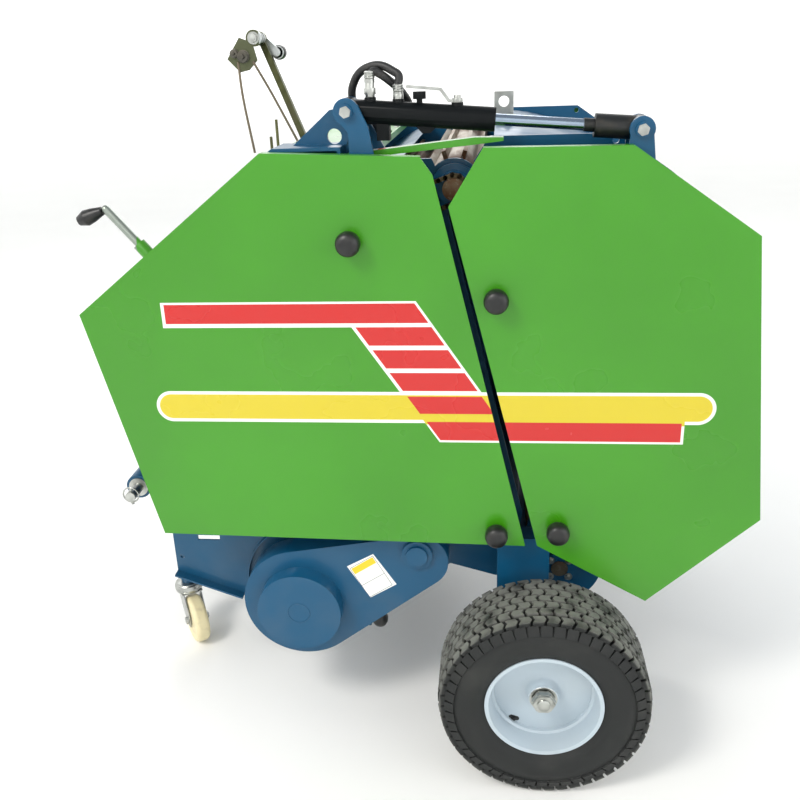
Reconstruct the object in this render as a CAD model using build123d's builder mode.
"""A small round baler for a compact tractor, as separate pieces in millimetres.

+X points to the tractor, +Y to the machine's left and +Z up.  The origin is on the ground, at
the middle of the machine's length and width.  Side outlines are given as (ahead, height): ahead
is measured forward from the wheel axle, height from the ground.
"""
import os
from math import atan2, cos, degrees, hypot, radians, sin, tan

from build123d import *

os.makedirs("parts", exist_ok=True)

# ---------------------------------------------------------------- driving sizes, millimetres
FRONT_REACH = 900.0  # from the wheel axle to the foremost part of the hitch
REAR_REACH = 400.0  # from the wheel axle to the back of the tailgate
HALF_WIDTH = 685.0  # to the outer face of a tyre
OVERALL_HEIGHT = 1430.0
AXLE_X = (REAR_REACH - FRONT_REACH) / 2
FIT = 0.05  # radial play of a running fit
RUN_GAP = 5.0  # between pieces that move past each other

TYRE_RADIUS = 205.0
TYRE_WIDTH = 160.0
RIM_RADIUS = 104.0
STUB_AXLE_RADIUS = 20.0

WALL_FACE = 400.0  # inner face of the bale chamber's side walls
WALL_PLATE = 8.0
PANEL_FACE = 525.0  # outer face of the side panels
PANEL_SHEET = 3.0
PANEL_FLANGE = 20.0

CHAMBER = (100.0, 745.0)  # centre of the bale chamber
BALE_RADIUS = 349.0
ROLLER_RADIUS = 62.0  # over the ribs
ROLLER_CORE = 50.0
ROLLER_WALL = 5.0
ROLLER_RIBS = 10
ROLLER_RIB_WIDTH = 8.0
ROLLER_SHAFT = 17.5
ROLLER_END_GAP = 6.0
HINGE_ANGLE = 80.0  # of the hinge roller about the chamber's centre: forward is 0, up is 90
FRONT_ROLLER_ANGLES = (HINGE_ANGLE, 60.0, 34.0, 8.0, -18.0)
GATE_ROLLER_ANGLES = (110.0, 138.0, 166.0, 194.0, 222.0, 250.0)
SHELL_GAP = 11.0  # from the rollers' ribs to the curved cover
SHELL_SHEET = 3.0
FRONT_SHELL = (6.0, 64.0)  # start angle and sweep of the curved cover ahead of the hinge
GATE_SHELL = (90.0, 142.0)
WALL_TOP = 1200.0

REEL = (500.0, 300.0)  # axis of the pickup reel
REEL_TIP_RADIUS = 188.0
REEL_BAR_CIRCLE = 92.0
REEL_BARS = 4
REEL_SHAFT = 20.0
TINE_PITCH = 66.0
TINE_COLUMNS = 11
PICKUP_PIVOT = (262.0, 425.0)
PICKUP_PLATE = 5.0
PICKUP_PLATE_FACE = WALL_FACE - 8  # outer face of the pickup's side plates

CYLINDER_Y = 467.0
BARREL_PIN = (349.0, 1289.0)
EYE_PIN = (-143.0, 1248.0)
BARREL_LENGTH = 252.0
BARREL_RADIUS = 20.0
ROD_RADIUS = 9.5
EYE_WIDTH = 34.0
EYE_SLACK = 9.0  # radial room of the rod's eye about its pin

HITCH_PIN = (868.0, 517.0)
HITCH_PIN_RADIUS = 11.0
HITCH_PIN_SHANK = 14.0
HITCH_SHOULDER = 385.0
HITCH_PIN_TIP = 435.0
TOP_LINK = (840.0, 977.0)
TOP_LINK_BORE = 9.65
TOP_LINK_GAP = 76.0
BEAM = (800.0, 880.0, 540.0, 620.0)  # cross beam: rear, front, bottom, top
PTO_RADIUS = 17.45

CASTOR_AXIS = (869.0, 187.0)  # ahead of the axle, and left or right of the middle
CASTOR_RADIUS = 60.0
CASTOR_WIDTH = 34.0
CASTOR_TRAIL = 40.0
CASTOR_TURN = 125.0  # direction of trail at rest on the left, degrees from straight ahead

# ---------------------------------------------------------------- sizes that follow
ROLLER_CIRCLE = BALE_RADIUS + ROLLER_RADIUS
SHELL_RADIUS = ROLLER_CIRCLE + ROLLER_RADIUS + SHELL_GAP
ROLLER_HALF = WALL_FACE - ROLLER_END_GAP
WALL_OUT = WALL_FACE + WALL_PLATE
PANEL_BACK = PANEL_FACE - PANEL_SHEET
WHEEL_INNER = HALF_WIDTH - TYRE_WIDTH


def around(centre, radius, angle):
    """Point on a circle in a side outline; angle 0 is forward and 90 is up."""
    return (centre[0] + radius * cos(radians(angle)), centre[1] + radius * sin(radians(angle)))


HINGE = around(CHAMBER, ROLLER_CIRCLE, HINGE_ANGLE)
FRONT_ROLLERS = [around(CHAMBER, ROLLER_CIRCLE, angle) for angle in FRONT_ROLLER_ANGLES]
GATE_ROLLERS = [around(CHAMBER, ROLLER_CIRCLE, angle) for angle in GATE_ROLLER_ANGLES]


def at(point):
    """X and Z of a point of a side outline."""
    return (AXLE_X + point[0], point[1])


def side_plane(y):
    return Plane(origin=(0, y, 0), x_dir=(1, 0, 0), z_dir=(0, -1, 0))


def slab(outline, span, mode=Mode.ADD):
    """Flat plate with a side outline, between two places across the machine."""
    low, high = sorted(span)
    with BuildSketch(side_plane(high)) as face:
        with BuildLine():
            Polyline(*[at(point) for point in outline], close=True)
        make_face()
    extrude(to_extrude=face.sketch, amount=high - low, mode=mode)


def disc(centre, radius, span, mode=Mode.ADD):
    """Round bar, boss or hole along Y."""
    low, high = sorted(span)
    with BuildSketch(side_plane(high)) as face:
        with Locations(at(centre)):
            Circle(radius)
    extrude(to_extrude=face.sketch, amount=high - low, mode=mode)


def block(rear, front, bottom, top, span, mode=Mode.ADD):
    slab([(rear, bottom), (front, bottom), (front, top), (rear, top)], span, mode)


def upright(ahead, across, radius, low, high, mode=Mode.ADD):
    """Round bar or hole along Z."""
    with BuildSketch(Plane.XY.offset(low)) as face:
        with Locations((AXLE_X + ahead, across)):
            Circle(radius)
    extrude(to_extrude=face.sketch, amount=high - low, mode=mode)


def lengthwise(across, height, radius, rear, front, mode=Mode.ADD):
    """Round bar or hole along X."""
    with BuildSketch(Plane.YZ.offset(AXLE_X + rear)) as face:
        with Locations((across, height)):
            Circle(radius)
    extrude(to_extrude=face.sketch, amount=front - rear, mode=mode)


def hull(centre_a, radius_a, centre_b, radius_b, span, mode=Mode.ADD):
    """Two rounds and the flat sides that join them."""
    reach = hypot(centre_b[0] - centre_a[0], centre_b[1] - centre_a[1])
    heading = degrees(atan2(centre_b[1] - centre_a[1], centre_b[0] - centre_a[0]))
    lean = degrees(atan2(radius_a - radius_b, reach))
    sides = [heading + 90 - lean, heading - 90 + lean]
    corners = [around(centre_a, radius_a, sides[0]), around(centre_b, radius_b, sides[0])]
    corners += [around(centre_b, radius_b, sides[1]), around(centre_a, radius_a, sides[1])]
    slab(corners, span, mode)
    disc(centre_a, radius_a, span, mode)
    disc(centre_b, radius_b, span, mode)


def shell(centre, radius, sheet, start, sweep, span):
    """Curved sheet, bent about an axis along Y."""
    low, high = span
    with BuildSketch(side_plane(high)) as face:
        with Locations(at(centre)):
            Circle(radius + sheet)
            Circle(radius, mode=Mode.SUBTRACT)
        with BuildLine():
            far = 2.5 * radius
            steps = [around(centre, far, start + sweep * k / 3) for k in range(4)]
            Polyline(*[at(point) for point in [centre] + steps], close=True)
        make_face(mode=Mode.INTERSECT)
    extrude(to_extrude=face.sketch, amount=high - low)


def bend_radii(points):
    """For each corner of a tube's route, the largest arc that its two runs allow."""
    radii = []
    for before, corner, after in zip(points, points[1:], points[2:]):
        run_in, run_out = corner - before, after - corner
        half_turn = radians(run_in.get_angle(run_out)) / 2
        radii.append(0.45 * min(run_in.length, run_out.length) / tan(half_turn))
    return radii


def tube(route, radius):
    """Round tube along points given as (ahead, across, height)."""
    points = [Vector(AXLE_X + ahead, across, height) for ahead, across, height in route]
    with BuildLine() as way:
        FilletPolyline(*points, radius=bend_radii(points))
    with BuildSketch(Plane(origin=points[0], z_dir=points[1] - points[0])) as section:
        Circle(radius)
    sweep(sections=section.sketch, path=way.line)


def finish(piece, label):
    piece.part.label = label
    export_step(piece.part, f"parts/{label}.step")


# ---------------------------------------------------------------- bale chamber, front half
FRONT_WALL = [
    (200, 1174), (212, WALL_TOP), (497, WALL_TOP), (640, 985), (640, 745), (600, 670),
    (720, 655), (720, 545), (560, 540), (420, 500), (330, 345), (278, 310), (252, 312),
    (189, 357), (93, 330), (60, 330), (38, 482),
]
FRONT_KNOBS = [(350.0, 1075.0), (92.0, 505.0)]  # places of the panels' round knobs
GATE_KNOBS = [(95.0, 971.0), (-25.0, 513.0)]
HINGE_LOBE = 50.0
BEARING_RADIUS = 36.0
BEARING_END = WALL_OUT + 14
HINGE_BOSS_RADIUS = 30.0
HINGE_BOSS_END = WALL_OUT + 24
PIVOT_PIN_RADIUS = 16.0
SPACER_RADIUS = 12.0
TUBE_WALL = 3.0
FRONT_TUBES = [((590.0, 965.0), 22.0), ((462.0, 1116.0), 18.0)]  # centre and radius
FLOOR_SHEET = 5.0
FLOOR_ARC = (-102.0, 26.0)  # start angle and sweep of the chamber's floor
FLOOR_ROOM = 6.0  # from the bale to the floor

with BuildPart() as chamber_walls:
    slab(FRONT_WALL, (WALL_FACE, WALL_OUT))
    disc(HINGE, HINGE_LOBE, (WALL_FACE, WALL_OUT))
    disc(HINGE, HINGE_BOSS_RADIUS, (WALL_OUT, HINGE_BOSS_END))
    for centre in FRONT_ROLLERS[1:]:
        disc(centre, BEARING_RADIUS, (WALL_OUT, BEARING_END))
    for centre in FRONT_ROLLERS:
        disc(centre, ROLLER_SHAFT + FIT, (WALL_FACE, HINGE_BOSS_END), Mode.SUBTRACT)
    for centre in FRONT_KNOBS:
        disc(centre, SPACER_RADIUS, (WALL_OUT, PANEL_BACK))
    disc(PICKUP_PIVOT, PIVOT_PIN_RADIUS, (PICKUP_PLATE_FACE - PICKUP_PLATE, WALL_FACE))
    mirror(about=Plane.XZ)
finish(chamber_walls, "chamber_walls")

with BuildPart() as front_cover:
    shell(CHAMBER, SHELL_RADIUS, SHELL_SHEET, *FRONT_SHELL, (-WALL_FACE, WALL_FACE))
finish(front_cover, "front_cover")

TOP_COVER_SHEET = 3.0
TOP_COVER = (328.0, 545.0)  # rear and front edge
TOP_COVER_LIP = 22.0

with BuildPart() as top_cover:
    block(*TOP_COVER, WALL_TOP - TOP_COVER_SHEET, WALL_TOP, (-WALL_FACE, WALL_FACE))
    block(TOP_COVER[1] - TOP_COVER_SHEET, TOP_COVER[1], WALL_TOP - TOP_COVER_LIP, WALL_TOP,
          (-WALL_FACE, WALL_FACE))
    block(TOP_COVER[0], TOP_COVER[0] + TOP_COVER_SHEET, WALL_TOP, WALL_TOP + TOP_COVER_LIP / 2,
          (-WALL_FACE, WALL_FACE))
finish(top_cover, "top_cover")

with BuildPart() as front_tubes:
    for centre, radius in FRONT_TUBES:
        disc(centre, radius, (-WALL_FACE, WALL_FACE))
        disc(centre, radius - TUBE_WALL, (-WALL_FACE, WALL_FACE), Mode.SUBTRACT)
finish(front_tubes, "front_tubes")

with BuildPart() as feed_floor:
    shell(CHAMBER, BALE_RADIUS + FLOOR_ROOM, FLOOR_SHEET, *FLOOR_ARC, (-WALL_FACE, WALL_FACE))
finish(feed_floor, "feed_floor")

# ---------------------------------------------------------------- axle and wheels
LEG = (-14.0, 90.0, 163.0, 468.0)  # rear, front, bottom, top
LEG_SPAN = (WALL_OUT + 32, WALL_OUT + 82)
LEG_FOOT = (52.0, 400.0)  # rear and bottom of the pad that joins a leg to the wall
LEG_WALL = 6.0
AXLE_TUBE = 30.0
STUB_END = HALF_WIDTH - 45
WHEEL_AXIS = Axis((AXLE_X, 0, TYRE_RADIUS), (0, 1, 0))
WHEEL_PLANE = Plane(origin=(AXLE_X, 0, TYRE_RADIUS), x_dir=(0, 1, 0), z_dir=(1, 0, 0))
TYRE_WALL = 15.0
BEAD = RIM_RADIUS + 4
RIM_LIP = RIM_RADIUS + 10
DISC_INSET = 66.0  # from the tyre's outer face to the rim's flat disc
HUB_RADIUS = 30.0
HUB_REACH = 30.0  # from the tyre's outer face to the hub's end

with BuildPart() as axle:
    block(*LEG, LEG_SPAN)
    block(LEG[0] + LEG_WALL, LEG[1] - LEG_WALL, LEG[2], LEG[3] - LEG_WALL,
          (LEG_SPAN[0] + LEG_WALL, LEG_SPAN[1] - LEG_WALL), Mode.SUBTRACT)
    block(LEG_FOOT[0], LEG[1], LEG_FOOT[1], LEG[3], (WALL_OUT, LEG_SPAN[0]))
    disc((0, TYRE_RADIUS), STUB_AXLE_RADIUS, (LEG_SPAN[1], STUB_END))
    mirror(about=Plane.XZ)
    for reach, mode in ((AXLE_TUBE, Mode.ADD), (AXLE_TUBE - LEG_WALL, Mode.SUBTRACT)):
        block(-reach, reach, TYRE_RADIUS - reach, TYRE_RADIUS + reach,
              (-LEG_SPAN[0], LEG_SPAN[0]), mode)
finish(axle, "axle")


def spun(outline):
    """Closed outline of (across, radius) points, turned about the wheel's axis."""
    with BuildSketch(WHEEL_PLANE) as face:
        with BuildLine():
            Polyline(*outline, close=True)
        make_face()
    revolve(profiles=face.sketch, axis=WHEEL_AXIS)


# (in from the tyre's side face, radius): half of the tyre's outside, and of its inside
TYRE_OUTSIDE = [
    (21, BEAD), (19, BEAD + 7), (9, BEAD + 13), (1, TYRE_RADIUS - 69), (0, TYRE_RADIUS - 49),
    (5, TYRE_RADIUS - 25), (18, TYRE_RADIUS - 8), (36, TYRE_RADIUS - 2),
]
TYRE_INSIDE = [(32, TYRE_RADIUS - 19), (TYRE_WALL, TYRE_RADIUS - 45), (20, BEAD + 20), (36, BEAD)]

for side, word in ((1, "left"), (-1, "right")):
    inner, outer = WHEEL_INNER, HALF_WIDTH
    tyre_outline = [(inner + inset, radius) for inset, radius in TYRE_OUTSIDE]
    tyre_outline += [((inner + outer) / 2, TYRE_RADIUS)]
    tyre_outline += [(outer - inset, radius) for inset, radius in reversed(TYRE_OUTSIDE)]
    tyre_outline += [(outer - inset, radius) for inset, radius in reversed(TYRE_INSIDE)]
    tyre_outline += [(inner + inset, radius) for inset, radius in TYRE_INSIDE]
    rim_outline = [
        (inner + 14, RIM_LIP), (inner + 14, RIM_RADIUS + 3.5), (inner + 18, RIM_RADIUS),
        (inner + 52, RIM_RADIUS - 2), (inner + 58, RIM_RADIUS - 18),
        (outer - DISC_INSET - 8, RIM_RADIUS - 18), (outer - DISC_INSET, RIM_RADIUS - 40),
        (outer - DISC_INSET, HUB_RADIUS), (outer - DISC_INSET - 30, HUB_RADIUS),
        (outer - DISC_INSET - 30, STUB_AXLE_RADIUS + FIT),
        (outer - HUB_REACH, STUB_AXLE_RADIUS + FIT), (outer - HUB_REACH, HUB_RADIUS),
        (outer - DISC_INSET + 4, HUB_RADIUS), (outer - DISC_INSET + 4, RIM_RADIUS - 38),
        (outer - DISC_INSET - 4, RIM_RADIUS - 14), (outer - 52, RIM_RADIUS - 2),
        (outer - 18, RIM_RADIUS), (outer - 14, RIM_RADIUS + 3.5), (outer - 14, RIM_LIP),
        (outer - 18, RIM_LIP), (outer - 21, BEAD), (outer - 50, RIM_RADIUS + 2),
        (outer - 58, RIM_RADIUS - 10), (outer - DISC_INSET - 2, RIM_RADIUS - 10),
        (inner + 62, RIM_RADIUS - 14), (inner + 56, RIM_RADIUS + 2), (inner + 21, BEAD),
        (inner + 18, RIM_LIP),
    ]
    with BuildPart() as tyre:
        spun([(side * across, radius) for across, radius in tyre_outline])
    finish(tyre, f"tyre_{word}")
    with BuildPart() as rim:
        spun([(side * across, radius) for across, radius in rim_outline])
    finish(rim, f"rim_{word}")

# ---------------------------------------------------------------- side panels
FRONT_PANEL = [(865, 946), (497, 1228), (224, 1216), (203, 1186), (36, 473), (763, 485)]
GATE_PANEL = [(177, 1132), (118, 1228), (-128, 1226), (-343, 1075), (-REAR_REACH, 540),
              (-201, 354), (13, 474)]
KNOB_HOLE = 5.0


def flanged_panel(outline, folded, knobs):
    """Sheet whose listed edges, given by their first corner, are folded inwards."""
    slab(outline, (PANEL_BACK, PANEL_FACE))
    for first in folded:
        start, end = outline[first + 1], outline[first]
        run = hypot(end[0] - start[0], end[1] - start[1])
        inward = ((end[1] - start[1]) / run * PANEL_SHEET, (start[0] - end[0]) / run * PANEL_SHEET)
        strip = [start, end, (end[0] + inward[0], end[1] + inward[1]),
                 (start[0] + inward[0], start[1] + inward[1])]
        slab(strip, (PANEL_BACK - PANEL_FLANGE, PANEL_BACK))
    for centre in knobs:
        disc(centre, KNOB_HOLE, (PANEL_BACK, PANEL_FACE), Mode.SUBTRACT)
    mirror(about=Plane.XZ)


with BuildPart() as front_panels:
    flanged_panel(FRONT_PANEL, (1, 0), FRONT_KNOBS)
finish(front_panels, "front_panels")

with BuildPart() as gate_panels:
    flanged_panel(GATE_PANEL, (1, 2, 3), GATE_KNOBS)
finish(gate_panels, "gate_panels")

# ---------------------------------------------------------------- tailgate
GATE_WALL = [
    (108, 1236), (-115, 1236), (-210, 1170), (-350, 1060), (-396, 745), (-392, 600),
    (-300, 430), (-129, 359), (47, 359), (22, 480), (177, 1132),
]
HINGE_RELIEF = HINGE_LOBE + 6
HINGE_EAR_SPAN = (WALL_OUT + RUN_GAP, WALL_OUT + RUN_GAP + 8)
HINGE_EAR_RADIUS = 42.0
HINGE_EAR_FOOT = (60.0, 1100.0)
GATE_LOBE = 88.0
CORNER_HOLE = ((-112.0, 1224.0), 6.0)

with BuildPart() as gate_walls:
    slab(GATE_WALL, (WALL_FACE, WALL_OUT))
    disc(GATE_ROLLERS[-1], GATE_LOBE, (WALL_FACE, WALL_OUT))
    disc(HINGE, HINGE_RELIEF, (WALL_FACE, WALL_OUT), Mode.SUBTRACT)
    disc(*CORNER_HOLE, (WALL_FACE, WALL_OUT), Mode.SUBTRACT)
    hull(HINGE, HINGE_EAR_RADIUS, HINGE_EAR_FOOT, HINGE_EAR_RADIUS - 4, HINGE_EAR_SPAN)
    disc(HINGE_EAR_FOOT, HINGE_BOSS_RADIUS, (WALL_OUT, HINGE_EAR_SPAN[0]))
    disc(HINGE, HINGE_BOSS_RADIUS + FIT, HINGE_EAR_SPAN, Mode.SUBTRACT)
    for centre in GATE_ROLLERS:
        disc(centre, BEARING_RADIUS, (WALL_OUT, BEARING_END))
    for centre in GATE_ROLLERS:
        disc(centre, ROLLER_SHAFT + FIT, (WALL_FACE, BEARING_END), Mode.SUBTRACT)
    for centre in GATE_KNOBS:
        disc(centre, SPACER_RADIUS, (WALL_OUT, PANEL_BACK))
    mirror(about=Plane.XZ)
finish(gate_walls, "gate_walls")

with BuildPart() as gate_cover:
    shell(CHAMBER, SHELL_RADIUS, SHELL_SHEET, *GATE_SHELL, (-WALL_FACE, WALL_FACE))
finish(gate_cover, "gate_cover")

LIFT_LUG_Y = 85.0
LIFT_LUG_PLATE = 8.0
LIFT_LUG = (60.0, 100.0)  # rear and front edge
LIFT_LUG_BORE = 11.0
LIFT_LUG_FOOT = CHAMBER[1] + SHELL_RADIUS + SHELL_SHEET
LIFT_LUG_HEIGHT = 65.0
LIFT_LUG_TOP = 20.0  # from the bore's middle to the top edge

with BuildPart() as lifting_lug:
    lug_span = (LIFT_LUG_Y - LIFT_LUG_PLATE / 2, LIFT_LUG_Y + LIFT_LUG_PLATE / 2)
    block(*LIFT_LUG, LIFT_LUG_FOOT - 2 * SHELL_SHEET, LIFT_LUG_FOOT + LIFT_LUG_HEIGHT, lug_span)
    disc(CHAMBER, LIFT_LUG_FOOT - CHAMBER[1], lug_span, Mode.SUBTRACT)
    disc(((LIFT_LUG[0] + LIFT_LUG[1]) / 2, LIFT_LUG_FOOT + LIFT_LUG_HEIGHT - LIFT_LUG_TOP),
         LIFT_LUG_BORE,
         lug_span, Mode.SUBTRACT)
finish(lifting_lug, "lifting_lug")

# ---------------------------------------------------------------- tailgate cylinder
EAR_PLATE = 8.0
EAR_RADIUS = 21.0
EAR_INNER = CYLINDER_Y - BARREL_RADIUS - 1
EAR_OUTER = CYLINDER_Y + BARREL_RADIUS + 1
EAR_SPANS = ((EAR_INNER - EAR_PLATE, EAR_INNER), (EAR_OUTER, EAR_OUTER + EAR_PLATE))
PIN_RADIUS = 7.0
PIN_HEAD_RADIUS = 12.0
PIN_HEAD = 9.0
EAR_FOOT = (1150.0, 1185.0)  # bottom and top of the block that joins the rear ears to the wall
EAR_FLARE = 30.0

with BuildPart() as gate_ears:
    for span in EAR_SPANS:
        slab([(EYE_PIN[0] - EAR_RADIUS + 2, EYE_PIN[1] - 8),
              (EYE_PIN[0] + EAR_RADIUS - 2, EYE_PIN[1] - 8),
              (EYE_PIN[0] + EAR_RADIUS + 2, EAR_FOOT[0]), (EYE_PIN[0] - EAR_FLARE, EAR_FOOT[0])], span)
        disc(EYE_PIN, EAR_RADIUS, span)
    block(EYE_PIN[0] - EAR_FLARE, EYE_PIN[0] + EAR_FLARE, *EAR_FOOT, (WALL_OUT, EAR_OUTER + EAR_PLATE))
    disc(EYE_PIN, PIN_RADIUS, (EAR_INNER, EAR_OUTER))
    disc(EYE_PIN, PIN_HEAD_RADIUS, (EAR_OUTER + EAR_PLATE, EAR_OUTER + EAR_PLATE + PIN_HEAD))
finish(gate_ears, "gate_ears")

BASE_REAR, STEP_REAR, STEP_FRONT, STEP_TIP = 282.0, 362.0, 482.0, 510.0
BASE_TOP = WALL_TOP + 8  # where the ears stand
STEP_TOP = WALL_TOP + 32  # of the folded rail ahead of the ears
STEP_SHEET = 6.0
BRACKET_HOLE = (379.0, 1246.0)
BRACKET_HOLE_RADIUS = 13.0
BRACKET_RING = 25.0
BRACKET_RING_HEIGHT = 2.0
INNER_PLATE = [
    (BASE_REAR, BASE_TOP), (STEP_REAR, BASE_TOP), (STEP_REAR, STEP_TOP), (454, STEP_TOP), (402, 1276),
    (386, 1290), (371, 1292), (349, 1310), (330, 1300), (322, 1280),
]
OUTER_EAR = [
    (303, BASE_TOP), (346, BASE_TOP), (347, 1256), (369, 1280), (349, 1311), (329, 1300), (312, 1263),
]
BARREL_EAR_RADIUS = 22.0
STRUT_SPAN = (EAR_INNER + 1, EAR_INNER + 25)
STRUT_PIVOT = (345.0, BASE_TOP + 11)

with BuildPart() as cylinder_bracket:
    bracket_span = (WALL_FACE, EAR_OUTER + EAR_PLATE)
    block(BASE_REAR, STEP_REAR, WALL_TOP, BASE_TOP, bracket_span)
    slab([(STEP_REAR, WALL_TOP), (STEP_TIP + 8, WALL_TOP), (STEP_TIP, WALL_TOP + 14),
          (STEP_FRONT, STEP_TOP), (STEP_REAR, STEP_TOP)], (WALL_FACE, WALL_OUT))
    slab([(STEP_REAR, STEP_TOP - STEP_SHEET), (STEP_FRONT - 3, STEP_TOP - STEP_SHEET),
          (STEP_TIP - 5, WALL_TOP + 10), (STEP_TIP, WALL_TOP + 14), (STEP_FRONT, STEP_TOP),
          (STEP_REAR, STEP_TOP)], bracket_span)
    block(STEP_REAR, STEP_REAR + STEP_SHEET, WALL_TOP, STEP_TOP, bracket_span)
    slab(INNER_PLATE, EAR_SPANS[0])
    slab(OUTER_EAR, EAR_SPANS[1])
    for span in EAR_SPANS:
        disc(BARREL_PIN, BARREL_EAR_RADIUS, span)
    disc(BRACKET_HOLE, BRACKET_RING, (EAR_INNER - EAR_PLATE, EAR_INNER + BRACKET_RING_HEIGHT))
    disc(BRACKET_HOLE, BRACKET_HOLE_RADIUS,
         (EAR_INNER - EAR_PLATE, EAR_INNER + BRACKET_RING_HEIGHT), Mode.SUBTRACT)
    disc(BARREL_PIN, PIN_RADIUS, (EAR_INNER, EAR_OUTER))
    disc(BARREL_PIN, PIN_HEAD_RADIUS, (EAR_OUTER + EAR_PLATE, EAR_OUTER + EAR_PLATE + PIN_HEAD))
finish(cylinder_bracket, "cylinder_bracket")

PIN_SPAN = hypot(BARREL_PIN[0] - EYE_PIN[0], BARREL_PIN[1] - EYE_PIN[1])
PIN_HEADING = atan2(EYE_PIN[1] - BARREL_PIN[1], EYE_PIN[0] - BARREL_PIN[0])
BARREL_SLOPE = (BARREL_PIN[1] - EYE_PIN[1]) / (BARREL_PIN[0] - EYE_PIN[0])
BARREL_FOOT = 22.0
BARREL_BORE = 14.0
BORE_START = 40.0
GLAND = 14.0
ROD_TAIL = BARREL_LENGTH - 70
SLEEVE_LENGTH = 76.0
SLEEVE_RADIUS = 19.5
COLLAR_RADIUS = 11.0
COLLAR_LENGTH = 18.0
EYE_RADIUS = 20.5
EYE_BORE = PIN_RADIUS + EYE_SLACK
EYE_SPAN = (CYLINDER_Y - EYE_WIDTH / 2, CYLINDER_Y + EYE_WIDTH / 2)
PAD_RADIUS = 10.0
PAD_TOP = BARREL_RADIUS + 4  # of the flat pads, above the barrel's axis
RISER, RETURN, BLEED, TAP = 310.0, 262.0, 226.0, 162.0  # places along the barrel, ahead of the axle
STOP_LUG = (192.0, 222.0)
SIDE_PORT = 247.0
LOW_PORT = 289.0
PORT_DEPTH = 34.0  # of the low port, below the barrel's axis
HOSE_RADIUS = 7.0


def barrel_axis(ahead):
    """Height of the barrel's axis."""
    return BARREL_PIN[1] + (ahead - BARREL_PIN[0]) * BARREL_SLOPE


along = Plane(origin=(AXLE_X + BARREL_PIN[0], CYLINDER_Y, BARREL_PIN[1]), x_dir=(0, 1, 0),
              z_dir=(cos(PIN_HEADING), 0, sin(PIN_HEADING)))
with BuildPart() as cylinder_barrel:
    disc(BARREL_PIN, BARREL_FOOT, EYE_SPAN)
    with BuildSketch(along):
        Circle(BARREL_RADIUS)
    extrude(amount=BARREL_LENGTH)
    for ahead in (RISER, RETURN, TAP):
        upright(ahead, CYLINDER_Y, PAD_RADIUS, barrel_axis(ahead), barrel_axis(ahead) + PAD_TOP)
    upright(BLEED, CYLINDER_Y, 5, barrel_axis(BLEED), barrel_axis(BLEED) + PAD_TOP + 4)
    upright(BLEED, CYLINDER_Y, 11, barrel_axis(BLEED) + PAD_TOP + 2, barrel_axis(BLEED) + PAD_TOP + 14)
    low = barrel_axis(LOW_PORT)
    block(LOW_PORT - 11, LOW_PORT + 11, low - PORT_DEPTH - 11, low, (CYLINDER_Y - 14, CYLINDER_Y + 10))
    low = barrel_axis(STOP_LUG[1]) - BARREL_RADIUS
    slab([(STOP_LUG[0], low + 6), (STOP_LUG[1] + 14, low + 6), (STOP_LUG[1], low - 9),
          (STOP_LUG[0] + 16, low - 9)], (CYLINDER_Y - 9, CYLINDER_Y + 9))
    disc((SIDE_PORT, barrel_axis(SIDE_PORT)), 9, (CYLINDER_Y - BARREL_RADIUS - 4, CYLINDER_Y))
    with BuildSketch(along.offset(BORE_START)):
        Circle(BARREL_BORE)
    extrude(amount=BARREL_LENGTH - BORE_START - GLAND, mode=Mode.SUBTRACT)
    with BuildSketch(along.offset(BORE_START)):
        Circle(ROD_RADIUS + FIT)
    extrude(amount=BARREL_LENGTH, mode=Mode.SUBTRACT)
    disc(BARREL_PIN, PIN_RADIUS + FIT, (EAR_INNER, EAR_OUTER), Mode.SUBTRACT)
finish(cylinder_barrel, "cylinder_barrel")

with BuildPart() as cylinder_rod:
    with BuildSketch(along.offset(ROD_TAIL)):
        Circle(ROD_RADIUS)
    extrude(amount=PIN_SPAN - ROD_TAIL - SLEEVE_LENGTH)
    with BuildSketch(along.offset(PIN_SPAN - SLEEVE_LENGTH - COLLAR_LENGTH)):
        Circle(COLLAR_RADIUS)
    extrude(amount=COLLAR_LENGTH)
    with BuildSketch(along.offset(PIN_SPAN - SLEEVE_LENGTH)):
        Circle(SLEEVE_RADIUS)
    extrude(amount=SLEEVE_LENGTH)
    disc(EYE_PIN, EYE_RADIUS, EYE_SPAN)
    disc(EYE_PIN, EYE_BORE, (EAR_INNER, EAR_OUTER), Mode.SUBTRACT)
finish(cylinder_rod, "cylinder_rod")

RISER_TOP = barrel_axis(RISER) + 50
RETURN_TOP = barrel_axis(RETURN) + PAD_TOP + 8
SIDE_ELBOW = CYLINDER_Y - BARREL_RADIUS - 4
LOW_ELBOW = CYLINDER_Y - 14

with BuildPart() as hose_fittings:
    upright(RISER, CYLINDER_Y, 8, barrel_axis(RISER) + PAD_TOP, RISER_TOP)
    upright(RISER, CYLINDER_Y, 10, barrel_axis(RISER) + PAD_TOP + 5, barrel_axis(RISER) + PAD_TOP + 15)
    upright(RETURN, CYLINDER_Y, 9, barrel_axis(RETURN) + PAD_TOP, RETURN_TOP)
    disc((SIDE_PORT, barrel_axis(SIDE_PORT)), 8, (SIDE_ELBOW - 6, SIDE_ELBOW))
    disc((LOW_PORT, barrel_axis(LOW_PORT) - PORT_DEPTH), 9, (LOW_ELBOW - 6, LOW_ELBOW))
finish(hose_fittings, "hose_fittings")

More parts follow.
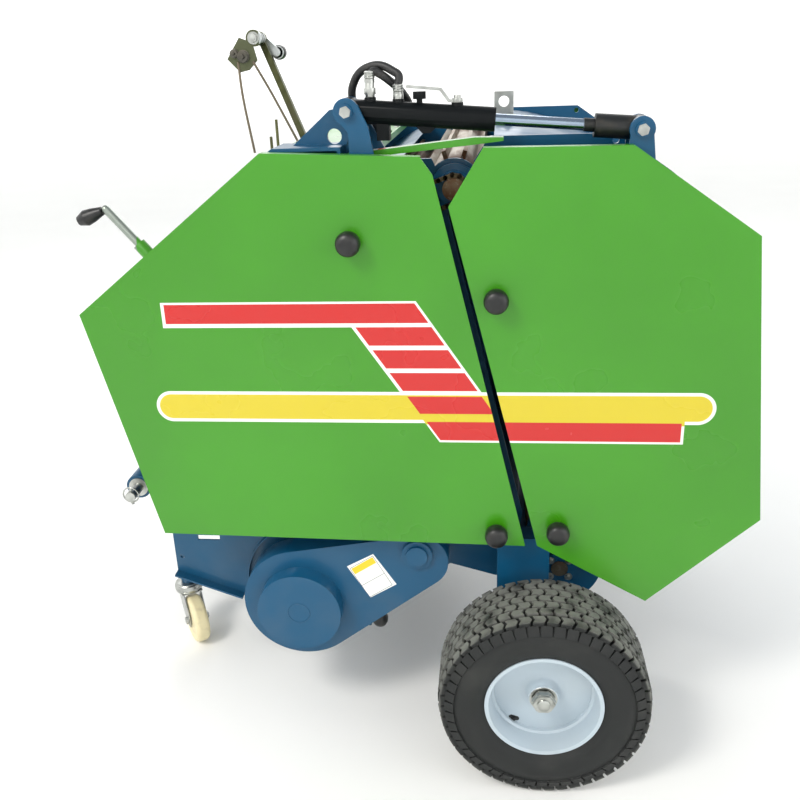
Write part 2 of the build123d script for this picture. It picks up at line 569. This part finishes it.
LOOP_HOSE = [
    (RETURN, CYLINDER_Y, RETURN_TOP), (RETURN, CYLINDER_Y, RETURN_TOP + 14),
    (RETURN - 4, CYLINDER_Y - 1, RETURN_TOP + 30), (RETURN + 32, CYLINDER_Y - 13, RETURN_TOP + 50),
    (RETURN + 70, CYLINDER_Y - 26, RETURN_TOP + 38), (RETURN + 88, CYLINDER_Y - 42, RETURN_TOP + 4),
    (RETURN + 80, CYLINDER_Y - 49, RETURN_TOP - 30), (RETURN + 54, CYLINDER_Y - 46, RETURN_TOP - 55),
    (LOW_PORT, CYLINDER_Y - 38, barrel_axis(LOW_PORT) - PORT_DEPTH),
    (LOW_PORT, LOW_ELBOW - 6, barrel_axis(LOW_PORT) - PORT_DEPTH),
]
CROSS_HOSE = [
    (RISER, CYLINDER_Y, RISER_TOP), (RISER, CYLINDER_Y, RISER_TOP + 8),
    (RISER - 7, CYLINDER_Y - 2, RISER_TOP + 17), (RISER - 24, CYLINDER_Y - 6, RISER_TOP + 7),
    (RISER - 48, CYLINDER_Y - 21, RISER_TOP - 14), (RISER - 62, CYLINDER_Y - 35, RISER_TOP - 36),
    (SIDE_PORT, CYLINDER_Y - 46, barrel_axis(SIDE_PORT)),
    (SIDE_PORT, SIDE_ELBOW - 6, barrel_axis(SIDE_PORT)),
]

with BuildPart() as cylinder_hoses:
    for route in (LOOP_HOSE, CROSS_HOSE):
        tube(route, HOSE_RADIUS)
finish(cylinder_hoses, "cylinder_hoses")

TAP_FOOT = barrel_axis(TAP) + PAD_TOP
TAP_ARM = [(TAP + 14, TAP_FOOT + 3), (TAP + 28, TAP_FOOT + 22), (TAP + 84, TAP_FOOT + 28)]
TAP_BAR = 2.5

with BuildPart() as shutoff_tap:
    upright(TAP, CYLINDER_Y, 9, TAP_FOOT, TAP_FOOT + 7)
    upright(TAP, CYLINDER_Y, 6, TAP_FOOT + 7, TAP_FOOT + 12)
    for start, end in zip([(TAP, TAP_FOOT + 3)] + TAP_ARM, TAP_ARM):
        hull(start, TAP_BAR, end, TAP_BAR, (CYLINDER_Y - 6, CYLINDER_Y + 6))
finish(shutoff_tap, "shutoff_tap")

STRUT_SHEET = 3.0
STRUT_TIP = (84.0, 1239.0)
STRUT_NOTCH = (132.0, 1240.0)
STRUT_LIP = 12.0

with BuildPart() as safety_strut:
    top_line = [STRUT_PIVOT, STRUT_NOTCH, STRUT_TIP]
    slab(top_line + [(point[0], point[1] - STRUT_SHEET) for point in reversed(top_line)], STRUT_SPAN)
    slab([STRUT_PIVOT, STRUT_NOTCH, STRUT_TIP, (STRUT_TIP[0], STRUT_TIP[1] - STRUT_LIP / 2),
          (STRUT_NOTCH[0], STRUT_NOTCH[1] - STRUT_LIP), (STRUT_PIVOT[0], STRUT_PIVOT[1] - STRUT_LIP + 2)],
         (STRUT_SPAN[1] - STRUT_SHEET, STRUT_SPAN[1]))
    block(STRUT_PIVOT[0] - 4, STRUT_PIVOT[0] + 8, BASE_TOP, STRUT_PIVOT[1], STRUT_SPAN)
finish(safety_strut, "safety_strut")

# ---------------------------------------------------------------- chamber rollers and their chain
SPROCKET_RADIUS = 20.0
SPROCKET_SPAN = (HINGE_BOSS_END + 3, HINGE_BOSS_END + 13)
CHAIN_GAP = 0.3
CHAIN_HEIGHT = 7.0
CHAINED = FRONT_ROLLERS[:2]  # places of the two rollers that the short chain joins

for index, centre in enumerate(FRONT_ROLLERS + GATE_ROLLERS, start=1):
    shaft_end = SPROCKET_SPAN[1] + 2 if centre in CHAINED else BEARING_END + 2
    with BuildPart() as roller:
        disc(centre, ROLLER_CORE, (-ROLLER_HALF, ROLLER_HALF))
        with BuildSketch(side_plane(ROLLER_HALF)) as ribs:
            with Locations(at(centre)):
                with PolarLocations((ROLLER_CORE + ROLLER_RADIUS) / 2, ROLLER_RIBS):
                    Rectangle(ROLLER_RADIUS - ROLLER_CORE + 4, ROLLER_RIB_WIDTH)
        extrude(to_extrude=ribs.sketch, amount=2 * ROLLER_HALF)
        disc(centre, ROLLER_CORE - ROLLER_WALL, (8 - ROLLER_HALF, ROLLER_HALF - 8), Mode.SUBTRACT)
        with BuildSketch(side_plane(ROLLER_HALF)) as holes:
            with Locations(at(centre)):
                with PolarLocations((ROLLER_SHAFT + ROLLER_CORE) / 2, 3):
                    Circle(9)
        extrude(to_extrude=holes.sketch, amount=2 * ROLLER_HALF, mode=Mode.SUBTRACT)
        disc(centre, ROLLER_SHAFT, (-shaft_end, shaft_end))
        if centre in CHAINED:
            disc(centre, SPROCKET_RADIUS, SPROCKET_SPAN)
    finish(roller, f"roller_{index:02d}")

with BuildPart() as roller_chain:
    for reach, mode in ((CHAIN_GAP + CHAIN_HEIGHT, Mode.ADD), (CHAIN_GAP, Mode.SUBTRACT)):
        hull(CHAINED[0], SPROCKET_RADIUS + reach, CHAINED[-1], SPROCKET_RADIUS + reach,
             SPROCKET_SPAN, mode)
finish(roller_chain, "roller_chain")

# ---------------------------------------------------------------- hitch frame
BEAM_HALF = 335.0
BEAM_WALL = 6.0
ARM = (600.0, BEAM[0], BEAM[3] - 60, BEAM[3])
ARM_WIDTH = 55.0
PIN_EAR = (305.0, 320.0)
PIN_BOSS_RADIUS = 27.0
CASTOR_LEG_RADIUS = 17.0
CASTOR_TOP = 2.5 * CASTOR_RADIUS
MAST_PLATE = 12.0
MAST_INNER = TOP_LINK_GAP / 2
MAST_SPAN = (MAST_INNER, MAST_INNER + MAST_PLATE)
MAST_EAR_RADIUS = 27.0
MAST_WIDTH = 50.0
MAST_FOOT_Y = 200.0
GEARBOX_SEAT = 10.0
GEARBOX_HALF = 80.0
BRACE_REAR = FRONT_TUBES[0][0][0] + FRONT_TUBES[0][1]
BRACE_HALF = 20.0

with BuildPart() as hitch_frame:
    block(*BEAM, (-BEAM_HALF, BEAM_HALF))
    block(*ARM, (BEAM_HALF - ARM_WIDTH, BEAM_HALF))
    block(ARM[0], ARM[0] + 60, ARM[2], ARM[3], (BEAM_HALF, WALL_FACE))
    slab([(BEAM[0], BEAM[2] + 10), (BEAM[1], BEAM[2] + 10), around(HITCH_PIN, PIN_BOSS_RADIUS, 20),
          around(HITCH_PIN, PIN_BOSS_RADIUS, 200)], PIN_EAR)
    disc(HITCH_PIN, PIN_BOSS_RADIUS, (PIN_EAR[0], HITCH_SHOULDER))
    disc(HITCH_PIN, HITCH_PIN_SHANK, (PIN_EAR[0], HITCH_SHOULDER), Mode.SUBTRACT)
    upright(*CASTOR_AXIS, CASTOR_LEG_RADIUS, CASTOR_TOP, BEAM[2] + 30)
    foot = Vector(AXLE_X + TOP_LINK[0], MAST_FOOT_Y, BEAM[3] - 20)
    head = Vector(AXLE_X + TOP_LINK[0], MAST_INNER + MAST_PLATE / 2, TOP_LINK[1] - 20)
    with BuildSketch(Plane(origin=foot, x_dir=(1, 0, 0), z_dir=head - foot)) as strut:
        Rectangle(MAST_WIDTH, MAST_PLATE)
    extrude(to_extrude=strut.sketch, amount=(head - foot).length)
    block(TOP_LINK[0] - MAST_WIDTH / 2, TOP_LINK[0] + MAST_WIDTH / 2, TOP_LINK[1] - 70,
          TOP_LINK[1] - 10, MAST_SPAN)
    slab([(BRACE_REAR, TOP_LINK[1] - 12 - BRACE_HALF), (TOP_LINK[0], TOP_LINK[1] - MAST_EAR_RADIUS),
          (TOP_LINK[0], TOP_LINK[1] + MAST_EAR_RADIUS), (BRACE_REAR, TOP_LINK[1] - 12 + BRACE_HALF)],
         MAST_SPAN)
    disc(TOP_LINK, MAST_EAR_RADIUS, MAST_SPAN)
    disc(TOP_LINK, TOP_LINK_BORE, MAST_SPAN, Mode.SUBTRACT)
    mirror(about=Plane.XZ)
    block(BEAM[0] + BEAM_WALL, BEAM[1] - BEAM_WALL, BEAM[2] + BEAM_WALL, BEAM[3] - BEAM_WALL,
          (-BEAM_HALF, BEAM_HALF), Mode.SUBTRACT)
    block(ARM[0], BEAM[0], BEAM[3] - GEARBOX_SEAT, BEAM[3], (-GEARBOX_HALF, GEARBOX_HALF))
finish(hitch_frame, "hitch_frame")

with BuildPart() as hitch_pins:
    disc(HITCH_PIN, HITCH_PIN_SHANK, (PIN_EAR[0], HITCH_SHOULDER))
    disc(HITCH_PIN, HITCH_PIN_RADIUS, (HITCH_SHOULDER, HITCH_PIN_TIP))
    disc(HITCH_PIN, HITCH_PIN_SHANK + 5, (PIN_EAR[0] - 16, PIN_EAR[0]))
    mirror(about=Plane.XZ)
finish(hitch_pins, "hitch_pins")

# ---------------------------------------------------------------- drive
GEARBOX_HEIGHT = 170.0
GEARBOX_LENGTH = 160.0
GEARBOX_FRONT = BEAM[0] + 20
GEARBOX = (GEARBOX_FRONT - GEARBOX_LENGTH, GEARBOX_FRONT, BEAM[3], BEAM[3] + GEARBOX_HEIGHT)
GEARBOX_CORNER = 14.0
PTO_AXIS_HEIGHT = BEAM[3] + GEARBOX_HEIGHT / 2
PTO_BEARING = 22.0
PTO_NECK = 14.0
GUARD_RADIUS = 26.0
GUARD_AXIS = (BEAM[0] - 100, PTO_AXIS_HEIGHT)
GUARD_END = PANEL_BACK - 20

with BuildPart() as gearbox:
    block(*GEARBOX, (-GEARBOX_HALF, GEARBOX_HALF))
    fillet(gearbox.edges().filter_by(Axis.X), GEARBOX_CORNER)
    lengthwise(0, PTO_AXIS_HEIGHT, 48, GEARBOX_FRONT, GEARBOX_FRONT + PTO_NECK)
    lengthwise(0, PTO_AXIS_HEIGHT, PTO_BEARING + FIT, GEARBOX_FRONT - 20, GEARBOX_FRONT + PTO_NECK,
               Mode.SUBTRACT)
finish(gearbox, "gearbox")

with BuildPart() as pto_shaft:
    lengthwise(0, PTO_AXIS_HEIGHT, PTO_BEARING, GEARBOX_FRONT - 18, GEARBOX_FRONT + PTO_NECK)
    lengthwise(0, PTO_AXIS_HEIGHT, PTO_RADIUS, GEARBOX_FRONT + PTO_NECK, FRONT_REACH)
finish(pto_shaft, "pto_shaft")

with BuildPart() as shaft_guard:
    disc(GUARD_AXIS, GUARD_RADIUS, (GEARBOX_HALF, GUARD_END))
finish(shaft_guard, "shaft_guard")

# ---------------------------------------------------------------- twine gear
BOX_BOTTOM = GEARBOX[3] + 10
BOX_HEIGHT = 125.0
BOX = (640.0, 790.0, BOX_BOTTOM, BOX_BOTTOM + BOX_HEIGHT)  # rear, front, bottom, top
BOX_SHEET = 3.0
BOX_STANDOFF = (690.0, BOX[3] - 45)

with BuildPart() as twine_box:
    block(*BOX, (-WALL_OUT, WALL_OUT))
    block(BOX[0] + BOX_SHEET, BOX[1] - BOX_SHEET, BOX[2] + BOX_SHEET, BOX[3],
          (BOX_SHEET - WALL_OUT, WALL_OUT - BOX_SHEET), Mode.SUBTRACT)
    for span in ((WALL_OUT, PANEL_BACK), (-PANEL_BACK, -WALL_OUT)):
        disc(BOX_STANDOFF, SPACER_RADIUS, span)
finish(twine_box, "twine_box")

POST_Y = 100.0
POST_FOOT = (502.0, WALL_TOP)
POST_SECTION = (13.0, 16.0)  # seen from the side, and across
POST_PAD = (20.0, 13.0, 6.0)  # half length, half width and thickness
POST_PLAY = 1.0
COLLAR_RIM = 14.0
HEAD_AXIS = (584.0, OVERALL_HEIGHT - COLLAR_RIM)
HEAD_SHAFT = 7.0
HEAD_REACH = 60.0
ARM_END = (HEAD_AXIS[0] - 30, HEAD_AXIS[1] - 28)
ARM_PLATE = 6.0
ARM_RADII = (9.0, 8.0)
KNOB_RADIUS = 13.0
KNOB_LENGTH = 28.0
GUARD_PLATE = [  # about the head's axis
    (30, 2), (58, -38), (43, -54), (33, -64), (14, -60), (-4, -42), (4, -8),
]
SPOOL = (24.0, -34.0)
SPOOL_RADIUS = 15.0
POST_EYE = HEAD_SHAFT + 6
POST_LEAN = Vector(HEAD_AXIS[0] - POST_FOOT[0], 0, HEAD_AXIS[1] - POST_FOOT[1])
POST_SPAN = (POST_Y - POST_SECTION[1] / 2, POST_Y + POST_SECTION[1] / 2)
ARM_SPAN = (POST_SPAN[0] - POST_PLAY - ARM_PLATE, POST_SPAN[0] - POST_PLAY)

with BuildPart() as twine_post:
    base = Vector(AXLE_X + POST_FOOT[0], POST_Y, POST_FOOT[1] + POST_PAD[2])
    with BuildSketch(Plane(origin=base, x_dir=(0, 1, 0), z_dir=POST_LEAN)):
        Rectangle(POST_SECTION[1], POST_SECTION[0])
    extrude(amount=POST_LEAN.length - POST_PAD[2] - HEAD_SHAFT)
    block(POST_FOOT[0] - POST_PAD[0], POST_FOOT[0] + POST_PAD[0], POST_FOOT[1],
          POST_FOOT[1] + POST_PAD[2] + 3, (POST_Y - POST_PAD[1], POST_Y + POST_PAD[1]))
    disc(HEAD_AXIS, POST_EYE, POST_SPAN)
    disc(HEAD_AXIS, HEAD_SHAFT + FIT, POST_SPAN, Mode.SUBTRACT)
finish(twine_post, "twine_post")

with BuildPart() as twine_head:
    disc(HEAD_AXIS, HEAD_SHAFT, (ARM_SPAN[0], POST_Y + HEAD_REACH))
    hull(HEAD_AXIS, ARM_RADII[0], ARM_END, ARM_RADII[1], ARM_SPAN)
    disc(ARM_END, 5, (ARM_SPAN[0] - 6, ARM_SPAN[0]))
    disc(ARM_END, KNOB_RADIUS, (ARM_SPAN[0] - 6 - KNOB_LENGTH, ARM_SPAN[0] - 6))
    collars = POST_SPAN[1] + POST_PLAY
    for start, length, radius in ((0, 8, COLLAR_RIM), (8, 8, 10), (16, 8, COLLAR_RIM)):
        disc(HEAD_AXIS, radius, (collars + start, collars + start + length))
    slab([(HEAD_AXIS[0] + ahead, HEAD_AXIS[1] + height) for ahead, height in GUARD_PLATE],
         (POST_Y + HEAD_REACH - 10, POST_Y + HEAD_REACH - 5))
    disc(HEAD_AXIS, 16, (POST_Y + HEAD_REACH - 14, POST_Y + HEAD_REACH - 5))
    disc((HEAD_AXIS[0] + SPOOL[0], HEAD_AXIS[1] + SPOOL[1]), SPOOL_RADIUS,
         (POST_Y + HEAD_REACH - 32, POST_Y + HEAD_REACH - 10))
finish(twine_head, "twine_head")

GUIDE_RODS = [(552.0, WALL_TOP + 58), (566.0, WALL_TOP + 24)]  # place ahead, and top
GUIDE_Y = 150.0
GUIDE_ROD = 3.0
GUIDE_TAB = (30.0, 20.0, 4.0)  # length, half width and thickness
GUIDE_TAB_TOP = WALL_TOP - 10

with BuildPart() as twine_guides:
    block(TOP_COVER[1], TOP_COVER[1] + GUIDE_TAB[0], GUIDE_TAB_TOP - GUIDE_TAB[2], GUIDE_TAB_TOP,
          (GUIDE_Y - GUIDE_TAB[1], GUIDE_Y + GUIDE_TAB[1]))
    for ahead, top in GUIDE_RODS:
        upright(ahead, GUIDE_Y, GUIDE_ROD, GUIDE_TAB_TOP - GUIDE_TAB[2], top)
finish(twine_guides, "twine_guides")

CRANK_Y = 385.0
CRANK_BUSH = (781.0, 1040.0)
CRANK_BEND = (845.0, 1117.0)
CRANK_ROD = 8.0
CRANK_BUSH_RADIUS = 13.0
GRIP_TIP = (895.0, 1098.0)
GRIP_RADIUS = 15.5
GRIP_SHARE = 0.7  # of its length, from the neck to the widest place
CRANK_LUG = 5.0
CRANK_NUT = (795.0, 1018.0)

with BuildPart() as crank_handle:
    rod_way = Vector(CRANK_BEND[0] - CRANK_BUSH[0], 0, CRANK_BEND[1] - CRANK_BUSH[1])
    bush = Plane(origin=(AXLE_X + CRANK_BUSH[0], CRANK_Y, CRANK_BUSH[1]), x_dir=(0, 1, 0), z_dir=rod_way)
    with BuildSketch(bush.offset(-45)):
        Circle(CRANK_ROD)
    extrude(amount=rod_way.length + 45)
    bend = Vector(AXLE_X + CRANK_BEND[0], CRANK_Y, CRANK_BEND[1])
    with Locations(bend):
        Sphere(CRANK_ROD)
    with BuildSketch(bush.offset(-36)):
        Circle(CRANK_BUSH_RADIUS)
    extrude(amount=48)
    slab([(CRANK_BUSH[0] - 34, CRANK_BUSH[1] - 20), (CRANK_BUSH[0] - 12, CRANK_BUSH[1] - 38),
          (BOX[1] - 6, BOX[3] - 20), (BOX[1] - 46, BOX[3] - 20)], (WALL_OUT, WALL_OUT + CRANK_LUG))
    disc((CRANK_BUSH[0] - 18, CRANK_BUSH[1] - 22), 12, (CRANK_Y, WALL_OUT + CRANK_LUG))
finish(crank_handle, "crank_handle")

with BuildPart() as crank_grip:
    grip_way = Vector(GRIP_TIP[0] - CRANK_BEND[0], 0, GRIP_TIP[1] - CRANK_BEND[1])
    neck = Vector(AXLE_X + CRANK_BEND[0], CRANK_Y, CRANK_BEND[1]) + grip_way.normalized() * CRANK_ROD
    sections = [(0, CRANK_ROD), (GRIP_SHARE * 0.6, GRIP_RADIUS * 0.88), (GRIP_SHARE, GRIP_RADIUS),
                (1, GRIP_RADIUS * 0.6)]
    for (near, near_radius), (far, far_radius) in zip(sections, sections[1:]):
        for share, radius in ((near, near_radius), (far, far_radius)):
            with BuildSketch(Plane(origin=neck + grip_way * share, x_dir=(0, 1, 0), z_dir=grip_way)):
                Circle(radius)
        loft()
finish(crank_grip, "crank_grip")

# ---------------------------------------------------------------- pickup
PICKUP_SIDE = [
    (804, 500), (804, 312), (640, 252), (560, 212), (500, 190), (430, 182), (360, 200), (330, 225),
    (292, 345), (236, 388), (226, 425), (236, 455), (262, 468), (330, 468), (420, 500),
]
SIDE_LIP = 22.0
SIDE_LIP_RUN = [(804, 312), (655, 257.5)]
SIDE_SLOT = (698.0, 748.0, 391.0, 403.0)
SIDE_HOLE = ((789.0, 348.0), 5.0)
COVER_SPAN = (WALL_OUT + 20, WALL_OUT + 80)
COVER_RADIUS = 125.0
COVER_BOSS = (249.0, 408.0)
COVER_BOSS_RADIUS = 60.0
COVER_SHEET = 3.0
COVER_DOME = (252.0, 428.0)
COVER_DOME_RADIUS = 31.0
CAP_RADIUS = 88.0
HUB_RING = 50.0
BAND_RADIUS = 128.0
BAND_WIDTH = 34.0
BAND_SHEET = 3.0
BAND_REAR = 292.0
REEL_END = PICKUP_PLATE_FACE + 10
SHIELD_RADIUS = 140.0
SHIELD_LIP = 14.0
STRAP_END = 372.0  # rear end of the free lower straps
PLATE_SPAN = (PICKUP_PLATE_FACE - PICKUP_PLATE, PICKUP_PLATE_FACE)

with BuildPart() as pickup_sides:
    slab(PICKUP_SIDE, PLATE_SPAN)
    slab(SIDE_LIP_RUN + [(ahead, height - 4) for ahead, height in reversed(SIDE_LIP_RUN)],
         (PLATE_SPAN[0], PLATE_SPAN[1] + SIDE_LIP))
    disc(PICKUP_PIVOT, PIVOT_PIN_RADIUS + FIT, PLATE_SPAN, Mode.SUBTRACT)
    disc(REEL, REEL_SHAFT + FIT, PLATE_SPAN, Mode.SUBTRACT)
    block(*SIDE_SLOT, PLATE_SPAN, Mode.SUBTRACT)
    disc(*SIDE_HOLE, PLATE_SPAN, Mode.SUBTRACT)
    mirror(about=Plane.XZ)
finish(pickup_sides, "pickup_sides")

with BuildPart() as pickup_bands:
    for index in range(TINE_COLUMNS + 1):
        middle = (index - TINE_COLUMNS / 2) * TINE_PITCH
        span = (middle - BAND_WIDTH / 2, middle + BAND_WIDTH / 2)
        shell(REEL, BAND_RADIUS, BAND_SHEET, -90, 180, span)
        block(BAND_REAR, REEL[0], REEL[1] + BAND_RADIUS, REEL[1] + BAND_RADIUS + BAND_SHEET, span)
        block(STRAP_END, REEL[0], REEL[1] - BAND_RADIUS - BAND_SHEET, REEL[1] - BAND_RADIUS, span)
    block(BAND_REAR - 26, BAND_REAR + 2, REEL[1] + BAND_RADIUS - 5, REEL[1] + BAND_RADIUS + BAND_SHEET,
          (-PLATE_SPAN[0], PLATE_SPAN[0]))
finish(pickup_bands, "pickup_bands")

with BuildPart() as pickup_drive_cover:
    hull(REEL, COVER_RADIUS, COVER_BOSS, COVER_BOSS_RADIUS, COVER_SPAN)
    disc(REEL, CAP_RADIUS, (COVER_SPAN[1], PANEL_FACE))
    hull(REEL, COVER_RADIUS - COVER_SHEET, COVER_BOSS, COVER_BOSS_RADIUS - COVER_SHEET,
         (COVER_SPAN[0], COVER_SPAN[1] - COVER_SHEET), Mode.SUBTRACT)
    disc(REEL, CAP_RADIUS - COVER_SHEET, (COVER_SPAN[0], PANEL_FACE - COVER_SHEET), Mode.SUBTRACT)
    disc(COVER_DOME, COVER_DOME_RADIUS, (COVER_SPAN[1], COVER_SPAN[1] + 9))
    disc(COVER_DOME, COVER_DOME_RADIUS * 0.7, (COVER_SPAN[1] + 9, COVER_SPAN[1] + 15))
    disc(REEL, HUB_RING, (PICKUP_PLATE_FACE, PANEL_FACE))
    disc(REEL, SHIELD_RADIUS, (PICKUP_PLATE_FACE, PICKUP_PLATE_FACE + SHIELD_LIP))
    disc(REEL, SHIELD_RADIUS - COVER_SHEET,
         (PICKUP_PLATE_FACE + COVER_SHEET, PICKUP_PLATE_FACE + SHIELD_LIP), Mode.SUBTRACT)
    disc(REEL, HUB_RING, (PICKUP_PLATE_FACE, PANEL_FACE))
    disc(REEL, REEL_SHAFT + 6, (PICKUP_PLATE_FACE, PANEL_FACE - COVER_SHEET), Mode.SUBTRACT)
finish(pickup_drive_cover, "pickup_drive_cover")

DISC_PLATES = (-360.0, 0.0, 360.0)
TINE_LEAN = 4.0

with BuildPart() as pickup_reel:
    disc(REEL, REEL_SHAFT, (-REEL_END, REEL_END))
    for middle in DISC_PLATES:
        disc(REEL, REEL_BAR_CIRCLE + 14, (middle - 3, middle + 3))
    for bar in range(REEL_BARS):
        angle = 45 + 360 * bar / REEL_BARS
        centre = around(REEL, REEL_BAR_CIRCLE, angle)
        tip = around(REEL, REEL_TIP_RADIUS, angle + TINE_LEAN)
        disc(centre, 10, (DISC_PLATES[0] - 3, DISC_PLATES[-1] + 3))
        for column in range(TINE_COLUMNS):
            middle = (column - (TINE_COLUMNS - 1) / 2) * TINE_PITCH
            slab([around(centre, 4, angle + 90), around(centre, 4, angle - 90),
                  around(tip, 2, angle - 90), around(tip, 2, angle + 90)], (middle - 3, middle + 3))
finish(pickup_reel, "pickup_reel")

# ---------------------------------------------------------------- castors
SWIVEL_RADIUS = 29.0
SWIVEL_HEIGHT = 18.0
CHEEK = 3.0
CHEEK_HALF = 14.0
CASTOR_BOLT = 5.0

for side, word in ((1, "left"), (-1, "right")):
    axis = Vector(AXLE_X + CASTOR_AXIS[0], side * CASTOR_AXIS[1], 0)
    turn = radians(side * CASTOR_TURN)
    trail = Vector(cos(turn), sin(turn), 0)
    hub = axis + trail * CASTOR_TRAIL + Vector(0, 0, CASTOR_RADIUS)
    cheek = Plane(origin=hub, x_dir=trail, z_dir=(trail.Y, -trail.X, 0))
    half_gap = CASTOR_WIDTH / 2 + 3
    top = CASTOR_TOP - CASTOR_RADIUS - SWIVEL_HEIGHT + 4
    cheek_outline = [
        (-CHEEK_HALF, -CHEEK_HALF), (CHEEK_HALF, -CHEEK_HALF), (CHEEK_HALF, CHEEK_HALF),
        (20 - CASTOR_TRAIL, top), (-CASTOR_TRAIL - 20, top), (-CASTOR_TRAIL - 18, top - 26),
    ]
    with BuildPart() as fork:
        with BuildSketch(Plane.XY.offset(CASTOR_TOP)):
            with Locations((axis.X, axis.Y)):
                Circle(SWIVEL_RADIUS)
        extrude(amount=-SWIVEL_HEIGHT)
        for offset in (-half_gap - CHEEK, half_gap):
            with BuildSketch(cheek.offset(offset)) as outline:
                with BuildLine():
                    Polyline(*cheek_outline, close=True)
                make_face()
            extrude(to_extrude=outline.sketch, amount=CHEEK)
        with BuildSketch(cheek.offset(-half_gap - CHEEK - 6)) as bolt:
            Circle(CASTOR_BOLT)
        extrude(to_extrude=bolt.sketch, amount=2 * (half_gap + CHEEK + 6))
    finish(fork, f"castor_fork_{word}")
    with BuildPart() as castor_wheel:
        with BuildSketch(cheek.offset(-CASTOR_WIDTH / 2)) as tread:
            Circle(CASTOR_RADIUS)
            Circle(CASTOR_BOLT + FIT, mode=Mode.SUBTRACT)
        extrude(to_extrude=tread.sketch, amount=CASTOR_WIDTH)
        fillet(castor_wheel.edges().group_by(SortBy.LENGTH)[-1], 10)
    finish(castor_wheel, f"castor_wheel_{word}")
